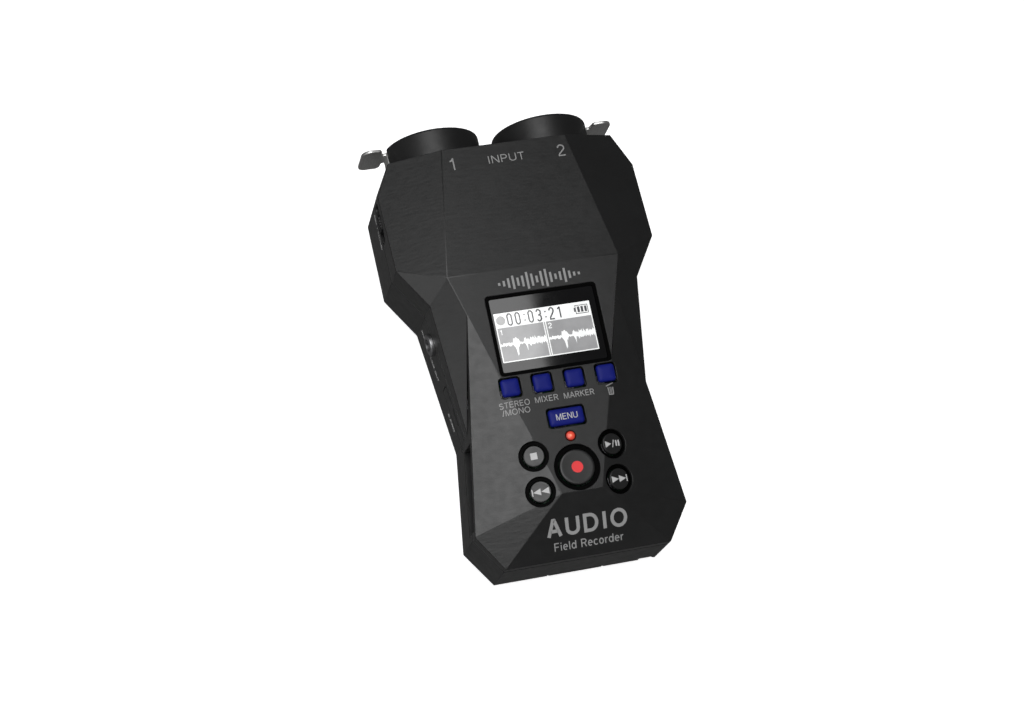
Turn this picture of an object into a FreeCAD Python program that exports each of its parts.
"""A portable field recorder with two combo input sockets, lying on its back.

Millimetres. The origin is under the middle of the recorder, on the surface that it lies on.
+X is to the user's right, +Y runs towards the input sockets, and +Z comes out of the front face.
"""
import FreeCAD, Part
import math
import os
from FreeCAD import Placement, Rotation, Vector

# Corners of the faceted front, on the user's right. The left half is their mirror image.
END_RIDGE = Vector(18.6, 56.3, 38.1)
CREST = Vector(25.4, 17.0, 40.0)
ELBOW = Vector(38.4, 22.7, 35.0)
NECK = Vector(30.9, 10.9, 35.0)
CHIN = Vector(6.1, -49.2, 36.9)
JAW = Vector(31.05, -55.8, 29.8)
FOOT = Vector(24.2, -66.0, 28.6)
PLATE_START = CREST + (CHIN - CREST) * 0.1745
# Corners of the outline whose height follows from the facet that they lie on.
END_OUTER = (33.8, 56.3)
SHOULDER = (38.6, 46.5)
WAIST = (26.9, -26.5)

# Case
BELLY = 9.4              # height where the side walls start to taper towards the back
PARTING = 25.9           # height of the seam between the two shells
SEAM = 0.35              # width of the visible groove at the seam
WALL = 1.8
SKIN = 2.2               # vertical distance between the outer and inner front and back faces
SIDE_TAPER = 5.0         # how far each side draws in between the belly and the back
FOOT_TAPER = 3.2
CHANNEL_DEPTH = 2.6      # channel along each lower side, under the front plate's edge
CHANNEL_FLOOR = 21.3
CHANNEL_ENDS = (-53.7, -29.5)
PLATE_EDGE = 1.6

# Input sockets
SOCKET_X = 16.7
SOCKET_Z = 17.7
COLLAR_RADIUS = 14.36
RIM_Y = 66.0
INSERT_RADIUS = 11.8
INSERT_BACK = 31.0
PLUG_SHELL_RADIUS = 9.75
CORE_RADIUS = 8.0
PHONE_BORE_RADIUS = 3.25
PHONE_BORE_LENGTH = 30.0
CONTACT_CIRCLE = 5.75
CONTACT_HOLE_RADIUS = 1.3

# Release levers
LEVER_Y = 64.0
LEVER_SHEET = 0.9
LEVER_TRAVEL = 2.0
STEM_X = 29.9
STEM_GAP = 0.35
LEVER_OUTLINE = (          # x, height from the socket's middle, and corner radius of the thumb plate
    (30.2, 2.4, 0),
    (32.0, 2.4, 0.4),
    (32.5, 5.6, 1.2),
    (38.4, 6.4, 2.8),
    (38.4, -6.8, 2.2),
    (31.9, -6.8, 1.8),
    (31.7, -3.0, 0.5),
    (30.2, -3.0, 0),
)
STEM_BOTTOM = 49.0
STEM_WIDTH = 6.0

# Display
LENS_POCKET = (32.8, 23.6)
LENS_SIZE = (31.0, 21.9)
LENS_SUNK = 0.3          # how far the lens lies below the front
LENS_X = 0.3
LENS_Y = -2.0
LENS_THICK = 1.1
WINDOW_SIZE = (28.6, 14.6)
WINDOW_Y = -2.7
PANEL_SIZE = (31.0, 18.6)
PANEL_Y = -1.6

# Keys
KEY_GAP = 0.5
KEY_TRAVEL = 0.5
CAP_DEPTH = 3.1          # from the front down to the hidden flange that holds a key in
FLANGE = 0.6             # how far the flange reaches past the cap
FLANGE_THICK = 0.7
SOFT_KEY_XS = (-14.03, -4.7, 4.7, 14.03)
SOFT_KEY_Y = -17.2
SOFT_KEY_SIZE = (5.2, 5.0)
MENU_Y = -27.8
MENU_SIZE = (10.1, 4.8)
LAMP_Y = -33.4
LAMP_RADIUS = 1.5
RECORD_Y = -42.45
RECORD_RADIUS = 5.05
RECORD_HOLE = 6.6
ROUND_KEY_X = 11.5
ROUND_KEY_YS = (-37.45, -47.45)
ROUND_KEY_RADIUS = 3.0
ROUND_KEY_HOLE = 4.25
RING_DEPTH = 0.9         # how far the black rings round the keys lie below the front

# Circuit boards
MAIN_BOARD_Z = 23.6
KEY_BOARD_Z = 27.6
BOARD_THICK = 1.2
SWITCH_HEIGHT = 1.4

# Batteries, size AA
CELL_RADIUS = 7.15
CELL_LENGTH = 50.0
CELL_X = 7.6
CELL_Z = 9.6
BAY_HALF_WIDTH = 15.4
BAY_ENDS = (-57.0, -1.0)
BAY_ROOF = 17.4
BAY_WALL = 1.2
COVER_THICK = 1.6
COVER_HALF_WIDTH = 17.2
COVER_ENDS = (-62.7, 1.0)

# Sides
SLIDER_Y = 40.0
SLIDER_SLOT = (12.0, 4.0)
SLIDER_Z = 28.0
VOLUME_KEY_YS = (31.0, 39.0)
VOLUME_KEY_SIZE = (6.0, 3.2)
VOLUME_KEY_Z = 28.2
MINI_JACK_Y = 3.6
MINI_JACK_Z = 22.2
MINI_JACK_BORE = 1.8
MINI_JACK_RING = 3.15
MINI_JACK_PROUD = 1.1
DOOR_Y = -19.0
DOOR_Z = 21.0
DOOR_SIZE = (18.6, 4.4)
DOOR_THICK = 0.9
DOOR_POCKET = 1.45
BARREL_RADIUS = 0.6
DOOR_PIN_RADIUS = 0.3
USB_Y = -33.8
USB_Z = 26.6
USB_SIZE = (8.94, 3.2)

# Back
TRIPOD_Y = 9.5
TRIPOD_RADIUS = 3.175
TRIPOD_DEPTH = 6.0
SPEAKER_AT = (17.5, 10.5)
SPEAKER_RADIUS = 7.0
SCREWS = ((0.0, 48.0, 36.0), (27.0, 22.5, 34.5), (-27.0, 22.5, 34.5), (21.5, -57.5, 29.0), (-21.5, -57.5, 29.0))
SCREW_LENGTH = 14.0
SCREW_RADIUS = 1.0
SCREW_HEAD = 2.0
BOSS_RADIUS = 2.9
STRAP_X = 21.3
STRAP_Y = -63.7
STRAP_HEIGHTS = (5.5, 11.0)    # floor and roof of the strap's eyelet in the foot
LATCH_HALF_WIDTH = 8.4   # notch at the foot for the battery cover's thumb tab
LATCH_TOP = 10.9
LATCH_FACE = -61.4

UP = Vector(0, 0, 1)


def mirrored(point):
    return Vector(-point.x, point.y, point.z)


def facet(a, b, c):
    """The plane through three corners, as a point on it and its upward normal."""
    normal = (b - a).cross(c - a).normalize()
    return (a, normal if normal.z > 0 else normal * -1)


def facet_height(plane, x, y):
    point, normal = plane
    return point.z - (normal.x * (x - point.x) + normal.y * (y - point.y)) / normal.z


CENTRE_FACET = facet(CREST, mirrored(CREST), CHIN)
END_FACET = facet(END_RIDGE, mirrored(END_RIDGE), CREST)
FOOT_FACET = facet(CHIN, mirrored(CHIN), FOOT)
SHOULDER_FACET = facet(END_RIDGE, CREST, ELBOW)
ELBOW_FACET = facet(ELBOW, NECK, CREST)
NECK_FACET = facet(CREST, NECK, PLATE_START)
PLATE_FACET = facet(PLATE_START, CHIN, JAW)
CORNER_FACET = facet(JAW, CHIN, FOOT)


def other_side(plane):
    point, normal = plane
    return (mirrored(point), Vector(-normal.x, normal.y, normal.z))


def plan(*points):
    """Plan positions of corners given as vectors or as pairs."""
    return [(p.x, p.y) if isinstance(p, Vector) else p for p in points]


def flipped(points):
    return [(-x, y) for x, y in points]


def solid_between(bottom, top):
    """A solid with matching bottom and top polygons and flat sides."""
    count = len(bottom)
    faces = [Part.Face(Part.makePolygon(ring + ring[:1])) for ring in (bottom, top)]
    for i in range(count):
        j = (i + 1) % count
        corners = [bottom[i], bottom[j], top[j], top[i], bottom[i]]
        faces.append(Part.Face(Part.makePolygon(corners)))
    solid = Part.Solid(Part.Shell(faces))
    return solid if solid.Volume > 0 else Part.Solid(Part.Shell(faces).reversed())


def column(points, bottom, plane, drop=0.0):
    """An upright column over a plan polygon, capped by a facet lowered by drop."""
    low = [Vector(x, y, bottom) for x, y in points]
    high = [Vector(x, y, facet_height(plane, x, y) - drop) for x, y in points]
    return solid_between(low, high)


def block(points, bottom, top):
    return solid_between([Vector(x, y, bottom) for x, y in points], [Vector(x, y, top) for x, y in points])


def box(low, high):
    return Part.makeBox(high[0] - low[0], high[1] - low[1], high[2] - low[2], Vector(*low))


def rod(radius, start, end):
    """A cylinder between two points."""
    axis = Vector(*end) - Vector(*start)
    return Part.makeCylinder(radius, axis.Length, Vector(*start), axis)


def placed(shape, placement):
    copy = shape.copy()
    copy.Placement = placement.multiply(copy.Placement)
    return copy


def joined(shapes):
    return shapes[0].fuse(shapes[1:]).removeSplitter() if len(shapes) > 1 else shapes[0]


def pad(width, length, bottom, top, radius):
    """A rounded rectangle centred on the local Z axis, between two heights."""
    slab = Part.makeBox(width, length, top - bottom, Vector(-width / 2, -length / 2, bottom))
    uprights = [e for e in slab.Edges if abs(e.tangentAt(e.FirstParameter).z) > 0.99]
    return slab.makeFillet(radius, uprights)


def disc(radius, bottom, top):
    return Part.makeCylinder(radius, top - bottom, Vector(0, 0, bottom))


def on_facet(plane, x, y):
    """A frame on a facet: local Z is its normal, and local Y climbs towards the sockets."""
    normal = plane[1]
    along = Vector(0, 1, 0) - normal * normal.y
    across = along.cross(normal)
    turn = Rotation(across.normalize(), along.normalize(), normal, "ZYX")
    return Placement(Vector(x, y, facet_height(plane, x, y)), turn)


def on_wall(lower, upper, y, z, side):
    """A frame on a side wall between two outline corners: local Z points out, local Y points up."""
    share = (y - lower[1]) / (upper[1] - lower[1])
    point = Vector(side * (lower[0] + share * (upper[0] - lower[0])), y, z)
    along = Vector(side * (upper[0] - lower[0]), upper[1] - lower[1], 0).normalize() * side
    return Placement(point, Rotation(along, UP, along.cross(UP), "ZYX"))


def outline():
    """The body's outline in plan, counter-clockwise from the right foot corner."""
    right = plan(FOOT, JAW, WAIST, NECK, ELBOW, SHOULDER, END_OUTER)
    return right + flipped(right)[::-1]


def inset(points, distances):
    """The polygon whose edges lie inside the given one, each by its own distance."""
    lines = []
    for i, (x, y) in enumerate(points):
        next_x, next_y = points[(i + 1) % len(points)]
        length = math.hypot(next_x - x, next_y - y)
        run = ((next_x - x) / length, (next_y - y) / length)
        lines.append((x - run[1] * distances[i], y + run[0] * distances[i], run))
    corners = []
    for i, (x, y, run) in enumerate(lines):
        last_x, last_y, last_run = lines[i - 1]
        turn = last_run[0] * run[1] - last_run[1] * run[0]
        reach = ((x - last_x) * run[1] - (y - last_y) * run[0]) / turn
        corners.append((last_x + last_run[0] * reach, last_y + last_run[1] * reach))
    return corners


def outer_body():
    """The whole faceted block, before it is hollowed."""
    end = column(plan(mirrored(END_RIDGE), END_RIDGE, CREST, mirrored(CREST)), BELLY, END_FACET)
    centre = column(plan(mirrored(CREST), CREST, CHIN, mirrored(CHIN)), BELLY, CENTRE_FACET)
    foot = column(plan(mirrored(CHIN), CHIN, FOOT, mirrored(FOOT)), BELLY, FOOT_FACET)
    columns = [end, centre, foot]
    sides = (
        (plan(END_RIDGE, END_OUTER, SHOULDER, ELBOW, CREST), SHOULDER_FACET),
        (plan(ELBOW, NECK, CREST), ELBOW_FACET),
        (plan(CREST, NECK, WAIST, PLATE_START), NECK_FACET),
        (plan(PLATE_START, WAIST, JAW, CHIN), PLATE_FACET),
        (plan(JAW, FOOT, CHIN), CORNER_FACET),
    )
    for points, plane in sides:
        columns.append(column(points, BELLY, plane))
        columns.append(column(flipped(points), BELLY, other_side(plane)))
    rim = outline()
    tapers = [SIDE_TAPER] * len(rim)
    tapers[len(rim) // 2 - 1] = 0.0
    tapers[-1] = FOOT_TAPER
    back = solid_between([Vector(x, y, 0) for x, y in inset(rim, tapers)], [Vector(x, y, BELLY) for x, y in rim])
    return joined(columns + [back])


def channels(depth, plate):
    """The channels along the lower sides, under the front plate's edge."""
    low, high = CHANNEL_ENDS
    slope = (JAW.x - WAIST[0]) / (JAW.y - WAIST[1])
    edge = [(WAIST[0] + slope * (y - WAIST[1]), y) for y in (low, high)]
    points = [(edge[0][0] + 5, low), (edge[1][0] + 5, high), (edge[1][0] - depth, high), (edge[0][0] - depth, low)]
    cuts = []
    for strip, roof in ((points, PLATE_FACET), (flipped(points), other_side(PLATE_FACET))):
        cuts.append(column(strip, CHANNEL_FLOOR - (depth - CHANNEL_DEPTH), roof, plate))
    return joined(cuts)


def inner_body(outer):
    """The room inside the case."""
    room = outer.translated(Vector(0, 0, -SKIN)).common(outer.translated(Vector(0, 0, SKIN)))
    rim = outline()
    walls = block(inset(rim, [WALL] * len(rim)), 0, CREST.z)
    lining = channels(CHANNEL_DEPTH + 1.2, PLATE_EDGE - 1.2)
    return room.common(walls).cut(lining)


def socket_frames():
    """Frames at the two sockets' rims, local Z out of the mouth."""
    turn = Rotation(Vector(1, 0, 0), Vector(0, 0, -1), Vector(0, 1, 0), "ZYX")
    return [Placement(Vector(side * SOCKET_X, RIM_Y, SOCKET_Z), turn) for side in (-1, 1)]


def lever_stem_room():
    """Slots for the levers' stems, through the end of the case and along each collar's side."""
    rooms = []
    for side in (-1, 1):
        low_x, high_x = sorted((side * (STEM_X - STEM_GAP), side * (STEM_X + LEVER_SHEET + STEM_GAP)))
        half = STEM_WIDTH / 2 + STEM_GAP
        rooms.append(box((low_x, STEM_BOTTOM - 3, SOCKET_Z - half), (high_x, RIM_Y + 1, SOCKET_Z + half)))
    return rooms


def key_places():
    """Every key on the front: its name, frame, cap, and the hole round it."""
    places = []
    for number, x in enumerate(SOFT_KEY_XS, 1):
        places.append((f"soft_key_{number}", on_facet(CENTRE_FACET, x, SOFT_KEY_Y), SOFT_KEY_SIZE, None))
    places.append(("menu_key", on_facet(CENTRE_FACET, 0, MENU_Y), MENU_SIZE, None))
    places.append(("record_key", on_facet(CENTRE_FACET, 0, RECORD_Y), RECORD_RADIUS, RECORD_HOLE))
    left, right = other_side(PLATE_FACET), PLATE_FACET
    high, low = ROUND_KEY_YS
    round_keys = (("stop_key", left, -1, high), ("rewind_key", left, -1, low),
                  ("play_key", right, 1, high), ("forward_key", right, 1, low))
    for name, plane, side, y in round_keys:
        places.append((name, on_facet(plane, side * ROUND_KEY_X, y), ROUND_KEY_RADIUS, ROUND_KEY_HOLE))
    return places


def key_hole(cap, hole):
    if hole:
        return disc(hole, -6, 6)
    return pad(cap[0] + 2 * KEY_GAP, cap[1] + 2 * KEY_GAP, -6, 6, 0.9)


def boss_column(x, y, low, high, radius=BOSS_RADIUS):
    return rod(radius, (x, y, low), (x, y, high))


def side_cuts():
    """Openings in the side walls, through both shells where they cross the seam."""
    cuts = []
    slot = on_wall(plan(ELBOW)[0], SHOULDER, SLIDER_Y, SLIDER_Z, -1)
    cuts.append(placed(pad(SLIDER_SLOT[0], SLIDER_SLOT[1], -4, 2, 1.2), slot))
    for y in VOLUME_KEY_YS:
        place = on_wall(plan(ELBOW)[0], SHOULDER, y, VOLUME_KEY_Z, 1)
        width, height = (size + 0.6 for size in VOLUME_KEY_SIZE)
        cuts.append(placed(pad(width, height, -4, 2, 1.0), place))
    for side in (-1, 1):
        place = on_wall(WAIST, plan(NECK)[0], MINI_JACK_Y, MINI_JACK_Z, side)
        cuts.append(placed(disc(MINI_JACK_RING + 0.05, -5, 2), place))
    cuts.append(placed(pad(USB_SIZE[0] + 0.4, USB_SIZE[1] + 0.4, -9, 2, 1.3), usb_frame()))
    door = door_frame()
    cuts.append(placed(pad(DOOR_SIZE[0] + 0.6, DOOR_SIZE[1] + 0.6, -DOOR_POCKET, 2, 0.6), door))
    cuts.append(door_pin())
    cuts.append(placed(pad(13.0, 1.6, -6, 0, 0.5), door))
    return cuts


def usb_frame():
    """On the floor of the left channel."""
    frame = on_wall(plan(JAW)[0], WAIST, USB_Y, USB_Z, -1)
    return frame.multiply(Placement(Vector(0, 0, -CHANNEL_DEPTH), Rotation()))


def door_frame():
    return on_wall(WAIST, plan(NECK)[0], DOOR_Y, DOOR_Z, -1)


def door_axis(reach, radius):
    """A rod on the card door's hinge axis, reaching past the door's ends."""
    y = BARREL_RADIUS - DOOR_SIZE[1] / 2
    half = DOOR_SIZE[0] / 2 + reach
    return placed(rod(radius, (-half, y, -BARREL_RADIUS), (half, y, -BARREL_RADIUS)), door_frame())


def door_pin():
    return door_axis(0.9, DOOR_PIN_RADIUS)


def bay_cuts():
    """The battery bay, open at the back, with the cover's recess and its side grooves."""
    low, high = BAY_ENDS
    bay = box((-BAY_HALF_WIDTH, low, -1), (BAY_HALF_WIDTH, high, BAY_ROOF))
    cover = box((-COVER_HALF_WIDTH - 0.3, -70, -1), (COVER_HALF_WIDTH + 0.3, COVER_ENDS[1] + 0.3, COVER_THICK + 0.15))
    grooves = box((-COVER_HALF_WIDTH - 0.9, -70, COVER_THICK - 0.95),
                  (COVER_HALF_WIDTH + 0.9, COVER_ENDS[1] + 0.3, COVER_THICK + 0.15))
    latch = box((-LATCH_HALF_WIDTH, -70, -1), (LATCH_HALF_WIDTH, LATCH_FACE, LATCH_TOP))
    return [bay, cover, grooves, latch]


def back_cuts():
    """Openings in the back: the bay, the speaker's grille, the tripod thread and the screws."""
    cuts = bay_cuts()
    for ring, count in ((0.0, 1), (2.4, 6), (4.8, 12)):
        for i in range(count):
            angle = 2 * math.pi * i / count
            x = SPEAKER_AT[0] + ring * math.cos(angle)
            y = SPEAKER_AT[1] + ring * math.sin(angle)
            cuts.append(rod(0.65, (x, y, -1), (x, y, SKIN + 1)))
    cuts.append(rod(5.0, (0, TRIPOD_Y, -1), (0, TRIPOD_Y, TRIPOD_DEPTH + 1.0)))
    for x, y, top in SCREWS:
        head = top - SCREW_LENGTH
        cuts.append(rod(SCREW_HEAD + 0.3, (x, y, -1), (x, y, head)))
        cuts.append(rod(SCREW_RADIUS + 0.15, (x, y, head - 1), (x, y, PARTING + 1)))
    low, high = STRAP_HEIGHTS
    cuts.append(box((STRAP_X - 2.3, -70, low), (STRAP_X + 2.3, STRAP_Y + 2.5, high)))
    cuts.append(strap_bar())
    return cuts


def back_additions(room):
    """Walls round the battery bay, the tripod boss and the screw bosses, trimmed to the inside."""
    low, high = BAY_ENDS
    tub = box((-BAY_HALF_WIDTH - BAY_WALL, low - BAY_WALL, 0),
              (BAY_HALF_WIDTH + BAY_WALL, high + BAY_WALL, BAY_ROOF + BAY_WALL))
    ledge = box((-COVER_HALF_WIDTH - 2.5, -66, 0), (COVER_HALF_WIDTH + 2.5, COVER_ENDS[1] + 2, COVER_THICK + 1.4))
    tripod = rod(6.6, (0, TRIPOD_Y, 0), (0, TRIPOD_Y, TRIPOD_DEPTH + 2.5))
    latch_walls = box((-LATCH_HALF_WIDTH - 1.2, -66, 0), (LATCH_HALF_WIDTH + 1.2, LATCH_FACE + 1.2, LATCH_TOP + 1.2))
    strap_room = box((STRAP_X - 3.5, -66, STRAP_HEIGHTS[0] - 1.2), (STRAP_X + 3.5, STRAP_Y + 3.7, STRAP_HEIGHTS[1] + 1.2))
    speaker_rim = rod(SPEAKER_RADIUS + 1.4, (*SPEAKER_AT, 0), (*SPEAKER_AT, 5.0))
    speaker_rim = speaker_rim.cut(rod(SPEAKER_RADIUS + 0.2, (*SPEAKER_AT, 0), (*SPEAKER_AT, 6.0)))
    posts = [boss_column(x, y, 0, PARTING) for x, y, _ in SCREWS]
    backing = pad(DOOR_SIZE[0] + 2.6, DOOR_SIZE[1] + 2.6, -3.0, -1.0, 0.5)
    posts.append(placed(backing, door_frame()))
    shapes = [tub, ledge, tripod, latch_walls, strap_room, speaker_rim] + posts
    return [shape.common(room) for shape in shapes]


def make_shells():
    """The front and rear shells."""
    outer = outer_body()
    room = inner_body(outer)
    case = outer.cut(room).cut(channels(CHANNEL_DEPTH, PLATE_EDGE))
    above = box((-60, -80, PARTING), (60, 80, 60))
    below = box((-60, -80, -10), (60, 80, PARTING))
    sockets = [placed(disc(INSERT_RADIUS + 0.05, -14, 2), frame) for frame in socket_frames()]
    shared = sockets + lever_stem_room() + side_cuts()

    posts = [boss_column(x, y, PARTING, CREST.z).common(room) for x, y, _ in SCREWS]
    front = joined([case.common(above)] + posts)
    pilots = [rod(SCREW_RADIUS - 0.1, (x, y, PARTING - 1), (x, y, top)) for x, y, top in SCREWS]
    holes = [placed(key_hole(cap, hole), frame) for _, frame, cap, hole in key_places()]
    lens = on_facet(CENTRE_FACET, LENS_X, LENS_Y)
    pocket = pad(*LENS_POCKET, -LENS_SUNK - LENS_THICK - 0.05, 3, 1.0)
    window = pad(WINDOW_SIZE[0] + 1, WINDOW_SIZE[1] + 1, -6, 3, 0.4)
    cuts = [placed(pocket, lens), placed(window, on_facet(CENTRE_FACET, 0, WINDOW_Y))]
    cuts.append(placed(disc(LAMP_RADIUS + 0.05, -6, 3), on_facet(CENTRE_FACET, 0, LAMP_Y)))
    front = front.cut(cuts + holes + pilots + shared)

    rear = joined([case.common(below)] + [shape.common(below) for shape in back_additions(room)])
    rim = outline()
    groove = block(inset(rim, [-1.0] * len(rim)), PARTING - SEAM, PARTING)
    groove = groove.cut(block(inset(rim, [0.8] * len(rim)), PARTING - SEAM - 1, PARTING + 1))
    rear = rear.cut(back_cuts() + shared + [groove])
    return {"front_shell": front, "rear_shell": rear}


def make_display():
    """Lens, panel and its tray, stacked under the front."""
    lens = pad(*LENS_SIZE, -LENS_SUNK - LENS_THICK, -LENS_SUNK, 0.7)
    rim = [edge for edge in lens.Edges if edge.BoundBox.ZMin > -LENS_SUNK - 0.01]
    lens = lens.makeChamfer(0.2, rim)
    panel = pad(*PANEL_SIZE, -4.1, -2.5, 0.3)
    tray = pad(PANEL_SIZE[0] + 1.6, PANEL_SIZE[1] + 1.2, -5.6, -3.0, 0.5)
    tray = tray.cut(pad(PANEL_SIZE[0] + 0.1, PANEL_SIZE[1] + 0.1, -4.1, -2, 0.3))
    gasket = pad(WINDOW_SIZE[0] + 2.2, WINDOW_SIZE[1] + 2.0, -2.5, -2.25, 0.4)
    gasket = gasket.cut(pad(WINDOW_SIZE[0], WINDOW_SIZE[1], -3, -2, 0.4))
    at_panel = on_facet(CENTRE_FACET, 0, PANEL_Y)
    return {
        "display_lens": placed(lens, on_facet(CENTRE_FACET, LENS_X, LENS_Y)),
        "display_panel": placed(panel, at_panel),
        "display_tray": placed(tray, at_panel),
        "display_gasket": placed(gasket, on_facet(CENTRE_FACET, 0, WINDOW_Y)),
    }


def cap_solid(cap, top):
    """A key's cap with a crowned edge."""
    if isinstance(cap, tuple):
        solid = pad(*cap, -CAP_DEPTH, top, 0.7)
    else:
        solid = disc(cap, -CAP_DEPTH, top)
    crown = [edge for edge in solid.Edges if edge.BoundBox.ZMin > top - 0.01]
    return solid.makeFillet(0.35, crown)


def make_keys():
    """Keys with hidden flanges and stems that reach down to their switches."""
    keys = {}
    for name, frame, cap, hole in key_places():
        low = -CAP_DEPTH - FLANGE_THICK
        if hole:
            flange = disc(cap + FLANGE, low, -CAP_DEPTH)
            proud = 0.15
        else:
            flange = pad(cap[0] + 2 * FLANGE, cap[1] + 2 * FLANGE, low, -CAP_DEPTH, 0.9)
            proud = 0.55
        normal = frame.Rotation.multVec(UP)
        depth = (frame.Base.z - stem_end()) / normal.z
        stem = disc(1.1, -depth, low)
        keys[name] = placed(joined([cap_solid(cap, proud), flange, stem]), frame)
    return keys


def stem_end():
    """Height where the keys' stems end at rest, clear of the switches by the travel and the stems' tilt."""
    return KEY_BOARD_Z + BOARD_THICK + SWITCH_HEIGHT + KEY_TRAVEL + 0.5


def make_key_fittings():
    """Rings round the round keys, the board under the keys, its switches and the record lamp."""
    rings, switches = [], []
    for _, frame, cap, hole in key_places():
        if hole:
            ring = disc(hole - 0.05, -2.2, -RING_DEPTH).cut(disc(cap + 0.3, -3, 0))
            rings.append(placed(ring, frame))
        normal = frame.Rotation.multVec(UP)
        foot = frame.Base - normal * ((frame.Base.z - stem_end()) / normal.z)
        low = KEY_BOARD_Z + BOARD_THICK
        body = box((foot.x - 1.6, foot.y - 1.6, low), (foot.x + 1.6, foot.y + 1.6, low + 0.8))
        dome = rod(1.0, (foot.x, foot.y, low + 0.8), (foot.x, foot.y, low + SWITCH_HEIGHT))
        switches.append(joined([body, dome]))
    board = block([(-16, -13.5), (-16, -38), (-15, -50), (-8, -54.5), (8, -54.5), (15, -50), (16, -38), (16, -13.5)],
                  KEY_BOARD_Z, KEY_BOARD_Z + BOARD_THICK)
    lamp = placed(disc(LAMP_RADIUS, -3.2, 0.1), on_facet(CENTRE_FACET, 0, LAMP_Y))
    standoffs = [rod(1.6, (x, y, MAIN_BOARD_Z + BOARD_THICK), (x, y, KEY_BOARD_Z))
                 for x in (-12, 12) for y in (-22, -46)]
    return {
        "key_rings": Part.makeCompound(rings),
        "key_board": board,
        "key_switches": Part.makeCompound(switches),
        "key_board_standoffs": Part.makeCompound(standoffs),
        "record_lamp": lamp,
    }


def make_boards():
    """The main board in the middle of the case, and the input board behind the sockets."""
    main = box((-23, -54, MAIN_BOARD_Z), (23, 24, MAIN_BOARD_Z + BOARD_THICK))
    for side in (-1, 1):
        place = on_wall(WAIST, plan(NECK)[0], MINI_JACK_Y, MINI_JACK_Z, side)
        main = main.cut(placed(Part.makeBox(7.6, 12, 20, Vector(-3.8, -5, -17)), place))
    chip_places = ((-9, 10, 9, 9), (6, 4, 7, 5), (8, -20, 10, 8), (-10, -36, 6, 6), (10, -44, 5, 4))
    chips = [box((x, y, MAIN_BOARD_Z + BOARD_THICK), (x + w, y + h, MAIN_BOARD_Z + BOARD_THICK + 1.0))
             for x, y, w, h in chip_places]
    inputs = box((-29, 27.6, 7), (29, 28.8, 29))
    inputs = inputs.cut(boss_column(0, 48, 0, 40))
    relays = [box((x, 26.0, 11), (x + 6, 27.6, 15)) for x in (-20, -3, 14)]
    return {
        "main_board": main,
        "main_board_chips": Part.makeCompound(chips),
        "input_board": inputs,
        "input_board_chips": Part.makeCompound(relays),
    }


def make_sockets():
    """Combo sockets: a collar, an insert with the phone bore in its core, and its contacts."""
    parts = {}
    for number, frame in enumerate(socket_frames(), 1):
        collar = disc(COLLAR_RADIUS, END_OUTER[1] - RIM_Y, 0)
        lips = [edge for edge in collar.Edges if edge.BoundBox.ZMin > -0.01]
        collar = collar.makeFillet(0.8, lips).cut(disc(INSERT_RADIUS, -30, 5))
        insert = disc(INSERT_RADIUS, INSERT_BACK - RIM_Y, -0.9)
        insert = insert.cut(disc(PLUG_SHELL_RADIUS, -16.5, 1).cut(disc(CORE_RADIUS, -20, 1)))
        insert = insert.cut(disc(PLUG_SHELL_RADIUS, -3.0, 1))
        insert = insert.cut(disc(PHONE_BORE_RADIUS, -3.0 - PHONE_BORE_LENGTH, 2))
        contacts = []
        for angle in (90, 210, 330):
            x = CONTACT_CIRCLE * math.cos(math.radians(angle))
            y = CONTACT_CIRCLE * math.sin(math.radians(angle))
            insert = insert.cut(rod(CONTACT_HOLE_RADIUS, (x, y, -15), (x, y, 1)))
            sleeve = rod(CONTACT_HOLE_RADIUS - 0.05, (x, y, -15), (x, y, -3.6))
            contacts.append(sleeve.cut(rod(0.95, (x, y, -14), (x, y, 0))))
        for x in (-6, 0, 6):
            contacts.append(rod(0.5, (x, 0, INSERT_BACK - RIM_Y - 2.2), (x, 0, INSERT_BACK - RIM_Y)))
        parts[f"socket_collar_{number}"] = placed(collar, frame).cut(lever_stem_room())
        parts[f"socket_insert_{number}"] = placed(insert, frame)
        parts[f"socket_contacts_{number}"] = placed(Part.makeCompound(contacts), frame)
    return parts


def lever_plate(side):
    """A spoon-shaped sheet: a tall rounded head on a neck that meets the stem."""
    points = [Vector(side * x, LEVER_Y, SOCKET_Z + z) for x, z, _ in LEVER_OUTLINE]
    plate = Part.Face(Part.makePolygon(points + points[:1])).extrude(Vector(0, LEVER_SHEET, 0))
    for x, z, radius in LEVER_OUTLINE:
        if radius:
            corner = Vector(side * x, LEVER_Y + LEVER_SHEET / 2, SOCKET_Z + z)
            plate = plate.makeFillet(radius, [e for e in plate.Edges if e.CenterOfMass.distanceToPoint(corner) < 0.01])
    return plate


def make_levers():
    """Release levers: a thumb plate by each socket's rim, on a stem that runs into the case."""
    parts = {}
    for number, side in enumerate((-1, 1), 1):
        plate = lever_plate(side)
        low_x, high_x = sorted((side * STEM_X, side * (STEM_X + LEVER_SHEET)))
        stem = box((low_x, STEM_BOTTOM, SOCKET_Z - STEM_WIDTH / 2),
                   (high_x, LEVER_Y + LEVER_SHEET, SOCKET_Z + STEM_WIDTH / 2))
        parts[f"release_lever_{number}"] = joined([plate, stem])
        low_x, high_x = sorted((side * 29.0, side * 33.0))
        spring_y = STEM_BOTTOM - LEVER_TRAVEL - 0.6
        leaf = box((low_x, spring_y, SOCKET_Z - 3), (high_x, spring_y + 0.3, SOCKET_Z + 3))
        foot = box((low_x, spring_y - 4, SOCKET_Z - 3), (low_x + 0.3, spring_y, SOCKET_Z + 3))
        parts[f"lever_spring_{number}"] = joined([leaf, foot])
    return parts


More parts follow.
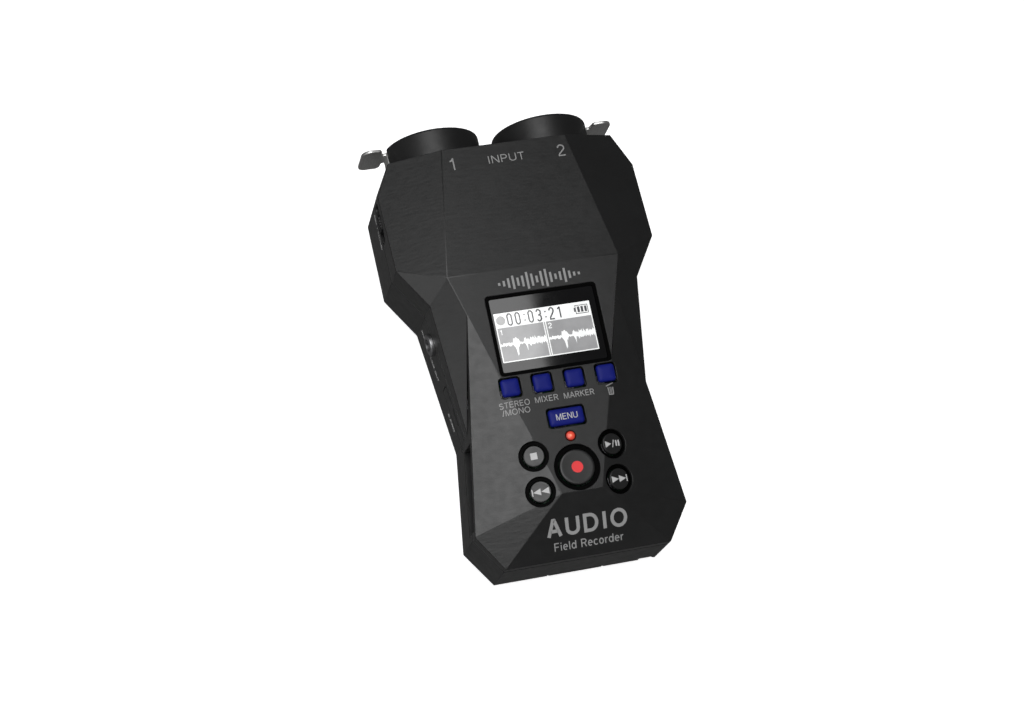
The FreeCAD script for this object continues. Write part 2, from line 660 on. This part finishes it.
def make_mini_jacks():
    """The 3.5 mm sockets in the waist, each with a metal ring."""
    parts = {}
    for name, side in (("phones", -1), ("line", 1)):
        place = on_wall(WAIST, plan(NECK)[0], MINI_JACK_Y, MINI_JACK_Z, side)
        body = Part.makeBox(6.6, 6.2, 11.5, Vector(-3.3, -3.1, -14.5))
        body = joined([body, disc(2.5, -3.5, -0.2)]).cut(disc(MINI_JACK_BORE, -14, 1))
        ring = disc(MINI_JACK_RING, -1.7, MINI_JACK_PROUD)
        crown = [edge for edge in ring.Edges if edge.BoundBox.ZMin > MINI_JACK_PROUD - 0.1]
        ring = ring.makeFillet(0.5, crown).cut(disc(2.55, -3, 0.0)).cut(disc(MINI_JACK_BORE + 0.1, -3, 2))
        parts[f"{name}_jack"] = placed(body, place)
        parts[f"{name}_jack_ring"] = placed(ring, place)
    return parts


def make_side_controls():
    """The power and hold slider with its switch, and the volume keys."""
    place = on_wall(plan(ELBOW)[0], SHOULDER, SLIDER_Y, SLIDER_Z, -1)
    knob = pad(5.0, SLIDER_SLOT[1] - 0.6, -2.0, 0.5, 0.8)
    for i in range(-2, 3):
        knob = knob.cut(Part.makeBox(0.35, 6, 0.4, Vector(i * 0.85 - 0.175, -3, 0.15)))
    base = pad(10.4, SLIDER_SLOT[1] + 0.6, -3.6, -2.8, 0.5)
    stem = Part.makeBox(2.4, 2.4, 0.9, Vector(-1.2, -1.2, -2.85))
    switch = Part.makeBox(12.0, 3.6, 2.6, Vector(-6, -1.8, -6.6))
    parts = {
        "power_slider": placed(joined([knob, stem, base]), place),
        "power_switch": placed(switch, place),
    }
    for name, y in zip(("volume_down_key", "volume_up_key"), VOLUME_KEY_YS):
        place = on_wall(plan(ELBOW)[0], SHOULDER, y, VOLUME_KEY_Z, 1)
        cap = pad(*VOLUME_KEY_SIZE, -2.3, 0.45, 0.9)
        crown = [edge for edge in cap.Edges if edge.BoundBox.ZMin > 0.44]
        flange = pad(VOLUME_KEY_SIZE[0] + 1.2, VOLUME_KEY_SIZE[1] + 1.0, -2.9, -2.25, 0.9)
        parts[name] = placed(joined([cap.makeFillet(0.3, crown), flange]), place)
    middle = on_wall(plan(ELBOW)[0], SHOULDER, sum(VOLUME_KEY_YS) / 2, VOLUME_KEY_Z, 1)
    parts["volume_switches"] = placed(Part.makeCompound([
        Part.makeBox(3, 2.6, 1.2, Vector(x - 1.5, -1.3, -4.8)) for x in (-4, 4)]), middle)
    return parts


def make_ports():
    """The USB port, and the card socket with its door."""
    width, height = USB_SIZE
    shell = pad(width, height, -7.6, -0.1, 1.2).cut(pad(width - 0.6, height - 0.6, -6.6, 1, 0.9))
    tongue = Part.makeBox(6.7, 0.7, 5.9, Vector(-3.35, -0.35, -6.6))
    door = placed(pad(*DOOR_SIZE, -DOOR_THICK, 0, 0.5), door_frame())
    grip = placed(Part.makeBox(5.0, 0.7, 2, Vector(-2.5, 1.2, -0.35)), door_frame())
    door = door.cut([grip, door_axis(1, BARREL_RADIUS)])
    barrel = door_axis(0, BARREL_RADIUS)
    bore = door_axis(1, DOOR_PIN_RADIUS + 0.05)
    card = Part.makeBox(14.0, 2.2, 14.0, Vector(-7.0, -0.75, -17.3))
    card = card.cut(Part.makeBox(11.2, 1.0, 13.0, Vector(-5.6, -0.5, -16.2)))
    return {
        "usb_port": placed(shell, usb_frame()),
        "usb_tongue": placed(tongue, usb_frame()),
        "card_socket": placed(card, door_frame()),
        "card_door": joined([door, barrel]).cut(bore),
        "card_door_pin": door_pin(),
    }


def make_power():
    """Batteries, their contacts, and the sliding cover."""
    low, high = COVER_ENDS
    cells, springs, plates = {}, [], []
    middle = sum(BAY_ENDS) / 2
    for number, side in enumerate((-1, 1), 1):
        x = side * CELL_X
        start = (x, middle - side * (CELL_LENGTH / 2 - 1), CELL_Z)
        end = (x, middle + side * (CELL_LENGTH / 2 - 1), CELL_Z)
        nub = (x, middle + side * (CELL_LENGTH / 2), CELL_Z)
        cells[f"battery_{number}"] = joined([rod(CELL_RADIUS, start, end), rod(2.7, end, nub)])
        flat_y = BAY_ENDS[1] if side > 0 else BAY_ENDS[0]
        coil_y = BAY_ENDS[0] if side > 0 else BAY_ENDS[1]
        plate_y = flat_y - 0.6 if side > 0 else flat_y
        plates.append(box((x - 5.5, plate_y, 4), (x + 5.5, plate_y + 0.6, 15)))
        for turn in range(4):
            centre = Vector(x, coil_y + side * (0.5 + 0.8 * turn), CELL_Z)
            springs.append(Part.makeTorus(4.6 - 0.7 * turn, 0.38, centre, Vector(0, 1, 0)))
    cover = box((-COVER_HALF_WIDTH, low, 0), (COVER_HALF_WIDTH, high, COVER_THICK))
    rails = box((-COVER_HALF_WIDTH - 0.6, low, COVER_THICK - 0.65), (COVER_HALF_WIDTH + 0.6, high, COVER_THICK))
    ribs = [box((-6, low + 4 + 1.6 * i, -1), (6, low + 4.7 + 1.6 * i, 0.35)) for i in range(6)]
    tab = box((-LATCH_HALF_WIDTH + 0.4, -70, 0), (LATCH_HALF_WIDTH - 0.4, LATCH_FACE - 0.8, LATCH_TOP - 0.6))
    tab = tab.common(outer_body())
    cover = joined([cover, rails, tab]).cut(ribs)
    return {
        **cells,
        "battery_springs": Part.makeCompound(springs),
        "battery_plates": Part.makeCompound(plates),
        "battery_cover": cover,
    }


def strap_bar():
    low, high = STRAP_HEIGHTS
    return rod(0.8, (STRAP_X, STRAP_Y, low - 0.6), (STRAP_X, STRAP_Y, high + 0.6))


def make_back_fittings():
    """The tripod insert, the speaker, the strap bar and the screws."""
    insert = rod(4.95, (0, TRIPOD_Y, 0.3), (0, TRIPOD_Y, TRIPOD_DEPTH + 0.9))
    insert = insert.cut(rod(TRIPOD_RADIUS, (0, TRIPOD_Y, -1), (0, TRIPOD_Y, TRIPOD_DEPTH)))
    speaker = rod(SPEAKER_RADIUS, (*SPEAKER_AT, SKIN + 0.1), (*SPEAKER_AT, 4.6))
    magnet = rod(4.0, (*SPEAKER_AT, 4.6), (*SPEAKER_AT, 6.4))
    screws = []
    for x, y, top in SCREWS:
        head = top - SCREW_LENGTH
        screw = joined([rod(SCREW_HEAD, (x, y, head - 1.3), (x, y, head)), rod(SCREW_RADIUS - 0.1, (x, y, head), (x, y, top - 0.5))])
        drive = joined([box((x - 1.2, y - 0.3, head - 2), (x + 1.2, y + 0.3, head - 0.6)),
                        box((x - 0.3, y - 1.2, head - 2), (x + 0.3, y + 1.2, head - 0.6))])
        screws.append(screw.cut(drive))
    return {
        "tripod_insert": insert,
        "speaker": joined([speaker, magnet]),
        "strap_bar": strap_bar(),
        "case_screws": Part.makeCompound(screws),
    }


def make_parts():
    makers = (make_shells, make_display, make_keys, make_key_fittings, make_boards, make_sockets, make_levers,
              make_mini_jacks, make_side_controls, make_ports, make_power, make_back_fittings)
    parts = {}
    for make in makers:
        parts.update(make())
    return parts


def main():
    os.makedirs("parts", exist_ok=True)
    for name, shape in make_parts().items():
        if not shape.isValid():
            print("not valid:", name)
        shape.exportStep(f"parts/{name}.step")
        print(f"{name}: {len(shape.Solids)} solid(s), {shape.Volume:.1f} mm3")


main()
